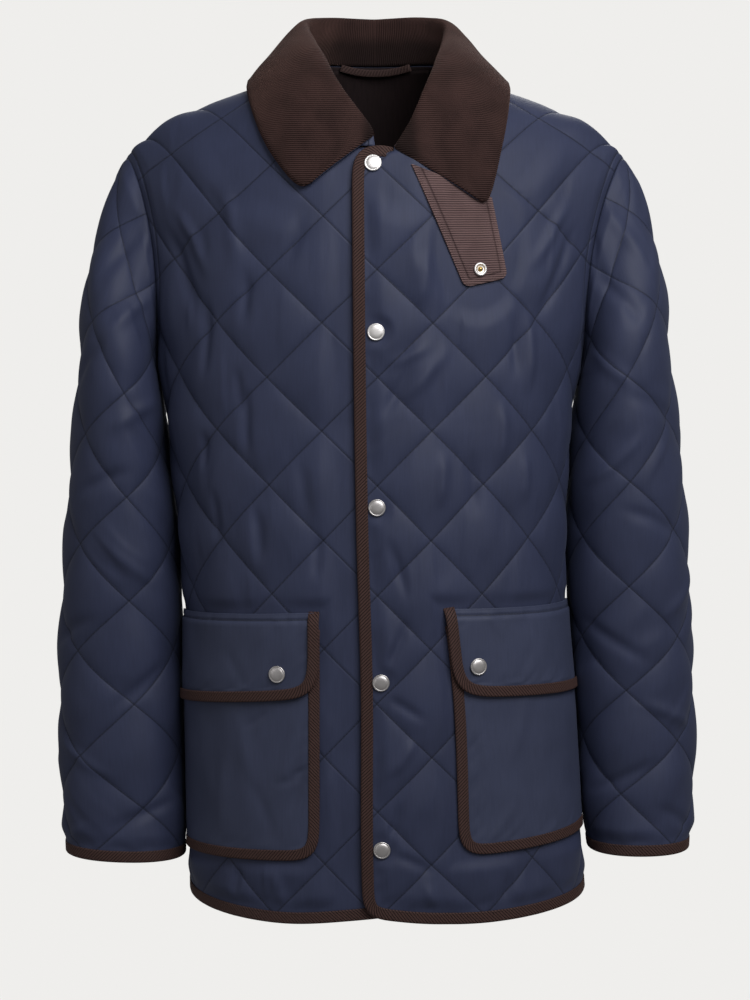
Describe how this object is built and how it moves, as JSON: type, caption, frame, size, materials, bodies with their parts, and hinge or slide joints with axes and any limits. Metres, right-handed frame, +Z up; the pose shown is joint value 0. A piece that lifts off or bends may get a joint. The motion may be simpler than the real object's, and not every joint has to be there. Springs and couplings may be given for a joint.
{
  "type": "quilted jacket",
  "caption": "Diamond-quilted outdoor jacket, worn shape with no wearer, with corduroy collar, throat tab, bound edges, flapped patch pockets and snap closing.",
  "frame": {"origin": "middle of the neck's base, level with the tops of the shoulder seams, where the wearer's neck and shoulders hold the jacket", "axes": "+Z up, -Y out of the jacket's front, +X towards the wearer's left"},
  "size_m": [0.6082, 0.2649, 0.837],
  "materials": {
    "navy_quilted": "padded, diamond-quilted polyester with a soft sheen",
    "navy_plain": "smooth unquilted polyester",
    "corduroy": "dark brown fine-wale corduroy",
    "tab_corduroy": "lighter brown fine-wale corduroy",
    "twill_tape": "brown twill binding, stitched",
    "lining": "black lining cloth",
    "nickel": "polished nickel plate"
  },
  "bodies": {
    "root": {"front_left": "navy_quilted", "front_right": "navy_quilted", "back": "navy_quilted", "sleeve_left": "navy_quilted", "sleeve_right": "navy_quilted", "upper_collar": "corduroy", "under_collar": "navy_plain", "throat_tab": "tab_corduroy", "neck_lining": "lining", "hanger_loop": "lining", "edge_binding": "twill_tape", "cuff_binding_left": "twill_tape", "cuff_binding_right": "twill_tape", "pocket_left": "navy_plain", "pocket_right": "navy_plain", "flap_left": "navy_plain", "flap_right": "navy_plain", "pocket_binding_left": "twill_tape", "pocket_binding_right": "twill_tape", "flap_binding_left": "twill_tape", "flap_binding_right": "twill_tape", "snap_front_1": "nickel", "snap_front_2": "nickel", "snap_front_3": "nickel", "snap_front_4": "nickel", "snap_front_5": "nickel", "snap_flap_left": "nickel", "snap_flap_right": "nickel", "tab_socket": "nickel"}
  },
  "joints": []
}
